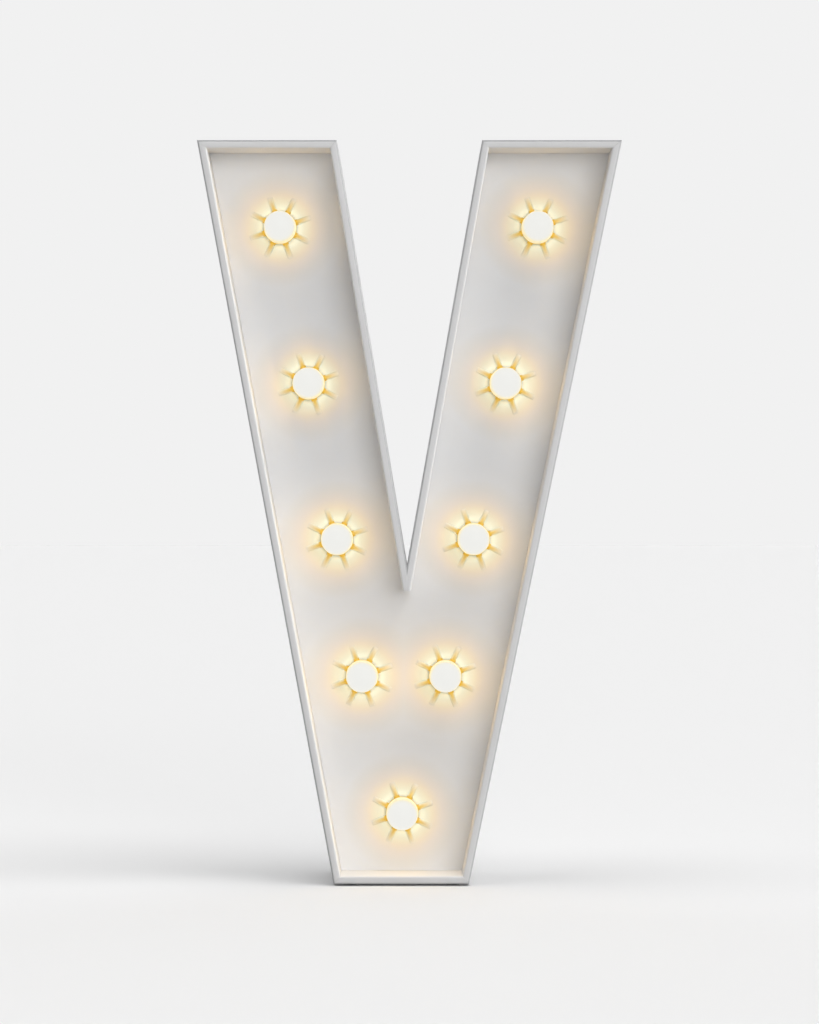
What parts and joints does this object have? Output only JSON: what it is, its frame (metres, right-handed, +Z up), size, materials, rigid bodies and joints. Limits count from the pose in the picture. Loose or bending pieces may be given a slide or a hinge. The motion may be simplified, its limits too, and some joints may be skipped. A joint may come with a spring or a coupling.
{
  "type": "light-up letter",
  "caption": "Free-standing letter V made as an open-fronted tray, with globe lamps that screw into its recessed face and a switched mains inlet at the rear.",
  "frame": {"origin": "on the floor, under the middle of the letter's box", "axes": "+Z up; the open front faces -Y; +X is to the right of someone who looks at the front"},
  "size_m": [0.684, 0.18, 1.2],
  "materials": {
    "painted_board": "satin white paint on board",
    "batten_wood": "planed softwood",
    "steel": "zinc plated",
    "rubber": "matt black",
    "holder_plastic": "moulded white",
    "brass": "bright pressed brass",
    "amber_plastic": "translucent amber",
    "cable_sheath": "white cable sheath",
    "black_plastic": "fine grained black",
    "nickel": "nickel plated",
    "opal_globe": "opal, lit from inside",
    "lamp_plastic": "moulded white"
  },
  "bodies": {
    "casing": {"wall_outer_left": "painted_board", "wall_base": "painted_board", "wall_outer_right": "painted_board", "wall_top_right": "painted_board", "wall_notch_right": "painted_board", "wall_notch_left": "painted_board", "wall_top_left": "painted_board", "face_panel": "painted_board", "back_panel": "painted_board", "face_battens": "batten_wood", "back_battens": "batten_wood", "back_screws": "steel", "feet": "rubber", "lampholders": "holder_plastic", "screw_shells": "brass", "shade_rings": "amber_plastic", "wiring": "cable_sheath", "inlet_body": "black_plastic", "inlet_pins": "nickel", "inlet_screws": "steel", "inlet_nuts": "steel", "switch_body": "black_plastic", "switch_tabs": "nickel"},
    "rocker": {"switch_rocker": "black_plastic"},
    "contact_1": {"centre_contact_1": "brass"},
    "lamp_1": {"lamp_globe_1": "opal_globe", "lamp_housing_1": "lamp_plastic", "lamp_cap_1": "nickel"},
    "contact_2": {"centre_contact_2": "brass"},
    "lamp_2": {"lamp_globe_2": "opal_globe", "lamp_housing_2": "lamp_plastic", "lamp_cap_2": "nickel"},
    "contact_3": {"centre_contact_3": "brass"},
    "lamp_3": {"lamp_globe_3": "opal_globe", "lamp_housing_3": "lamp_plastic", "lamp_cap_3": "nickel"},
    "contact_4": {"centre_contact_4": "brass"},
    "lamp_4": {"lamp_globe_4": "opal_globe", "lamp_housing_4": "lamp_plastic", "lamp_cap_4": "nickel"},
    "contact_5": {"centre_contact_5": "brass"},
    "lamp_5": {"lamp_globe_5": "opal_globe", "lamp_housing_5": "lamp_plastic", "lamp_cap_5": "nickel"},
    "contact_6": {"centre_contact_6": "brass"},
    "lamp_6": {"lamp_globe_6": "opal_globe", "lamp_housing_6": "lamp_plastic", "lamp_cap_6": "nickel"},
    "contact_7": {"centre_contact_7": "brass"},
    "lamp_7": {"lamp_globe_7": "opal_globe", "lamp_housing_7": "lamp_plastic", "lamp_cap_7": "nickel"},
    "contact_8": {"centre_contact_8": "brass"},
    "lamp_8": {"lamp_globe_8": "opal_globe", "lamp_housing_8": "lamp_plastic", "lamp_cap_8": "nickel"},
    "contact_9": {"centre_contact_9": "brass"},
    "lamp_9": {"lamp_globe_9": "opal_globe", "lamp_housing_9": "lamp_plastic", "lamp_cap_9": "nickel"}
  },
  "joints": [
    {"name": "switch_rock", "type": "hinge", "parent": "casing", "child": "rocker", "pos_m": [0.018, 0.077, 0.058], "axis": [1, 0, 0], "range_deg": [-18, 0]},
    {"name": "lamp_1_advance", "type": "slide", "parent": "casing", "child": "contact_1", "axis": [0, -1, 0], "range_m": [0, 0.0028]},
    {"name": "lamp_1_turn", "type": "hinge", "parent": "contact_1", "child": "lamp_1", "pos_m": [-0.21097, -0.02, 1.065], "axis": [0, -1, 0], "range_deg": [0, 270]},
    {"name": "lamp_2_advance", "type": "slide", "parent": "casing", "child": "contact_2", "axis": [0, -1, 0], "range_m": [0, 0.0028]},
    {"name": "lamp_2_turn", "type": "hinge", "parent": "contact_2", "child": "lamp_2", "pos_m": [-0.1646, -0.02, 0.811], "axis": [0, -1, 0], "range_deg": [0, 270]},
    {"name": "lamp_3_advance", "type": "slide", "parent": "casing", "child": "contact_3", "axis": [0, -1, 0], "range_m": [0, 0.0028]},
    {"name": "lamp_3_turn", "type": "hinge", "parent": "contact_3", "child": "lamp_3", "pos_m": [-0.11822, -0.02, 0.557], "axis": [0, -1, 0], "range_deg": [0, 270]},
    {"name": "lamp_4_advance", "type": "slide", "parent": "casing", "child": "contact_4", "axis": [0, -1, 0], "range_m": [0, 0.0028]},
    {"name": "lamp_4_turn", "type": "hinge", "parent": "contact_4", "child": "lamp_4", "pos_m": [-0.07741, -0.02, 0.3335], "axis": [0, -1, 0], "range_deg": [0, 270]},
    {"name": "lamp_5_advance", "type": "slide", "parent": "casing", "child": "contact_5", "axis": [0, -1, 0], "range_m": [0, 0.0028]},
    {"name": "lamp_5_turn", "type": "hinge", "parent": "contact_5", "child": "lamp_5", "pos_m": [-0.01184, -0.02, 0.11], "axis": [0, -1, 0], "range_deg": [0, 270]},
    {"name": "lamp_6_advance", "type": "slide", "parent": "casing", "child": "contact_6", "axis": [0, -1, 0], "range_m": [0, 0.0028]},
    {"name": "lamp_6_turn", "type": "hinge", "parent": "contact_6", "child": "lamp_6", "pos_m": [0.05859, -0.02, 0.3335], "axis": [0, -1, 0], "range_deg": [0, 270]},
    {"name": "lamp_7_advance", "type": "slide", "parent": "casing", "child": "contact_7", "axis": [0, -1, 0], "range_m": [0, 0.0028]},
    {"name": "lamp_7_turn", "type": "hinge", "parent": "contact_7", "child": "lamp_7", "pos_m": [0.10446, -0.02, 0.557], "axis": [0, -1, 0], "range_deg": [0, 270]},
    {"name": "lamp_8_advance", "type": "slide", "parent": "casing", "child": "contact_8", "axis": [0, -1, 0], "range_m": [0, 0.0028]},
    {"name": "lamp_8_turn", "type": "hinge", "parent": "contact_8", "child": "lamp_8", "pos_m": [0.15659, -0.02, 0.811], "axis": [0, -1, 0], "range_deg": [0, 270]},
    {"name": "lamp_9_advance", "type": "slide", "parent": "casing", "child": "contact_9", "axis": [0, -1, 0], "range_m": [0, 0.0028]},
    {"name": "lamp_9_turn", "type": "hinge", "parent": "contact_9", "child": "lamp_9", "pos_m": [0.20872, -0.02, 1.065], "axis": [0, -1, 0], "range_deg": [0, 270]}
  ],
  "couplings": [
    {"joint": "lamp_1_advance", "follows": "lamp_1_turn", "m_per_rad": 0.00057296},
    {"joint": "lamp_2_advance", "follows": "lamp_2_turn", "m_per_rad": 0.00057296},
    {"joint": "lamp_3_advance", "follows": "lamp_3_turn", "m_per_rad": 0.00057296},
    {"joint": "lamp_4_advance", "follows": "lamp_4_turn", "m_per_rad": 0.00057296},
    {"joint": "lamp_5_advance", "follows": "lamp_5_turn", "m_per_rad": 0.00057296},
    {"joint": "lamp_6_advance", "follows": "lamp_6_turn", "m_per_rad": 0.00057296},
    {"joint": "lamp_7_advance", "follows": "lamp_7_turn", "m_per_rad": 0.00057296},
    {"joint": "lamp_8_advance", "follows": "lamp_8_turn", "m_per_rad": 0.00057296},
    {"joint": "lamp_9_advance", "follows": "lamp_9_turn", "m_per_rad": 0.00057296}
  ]
}
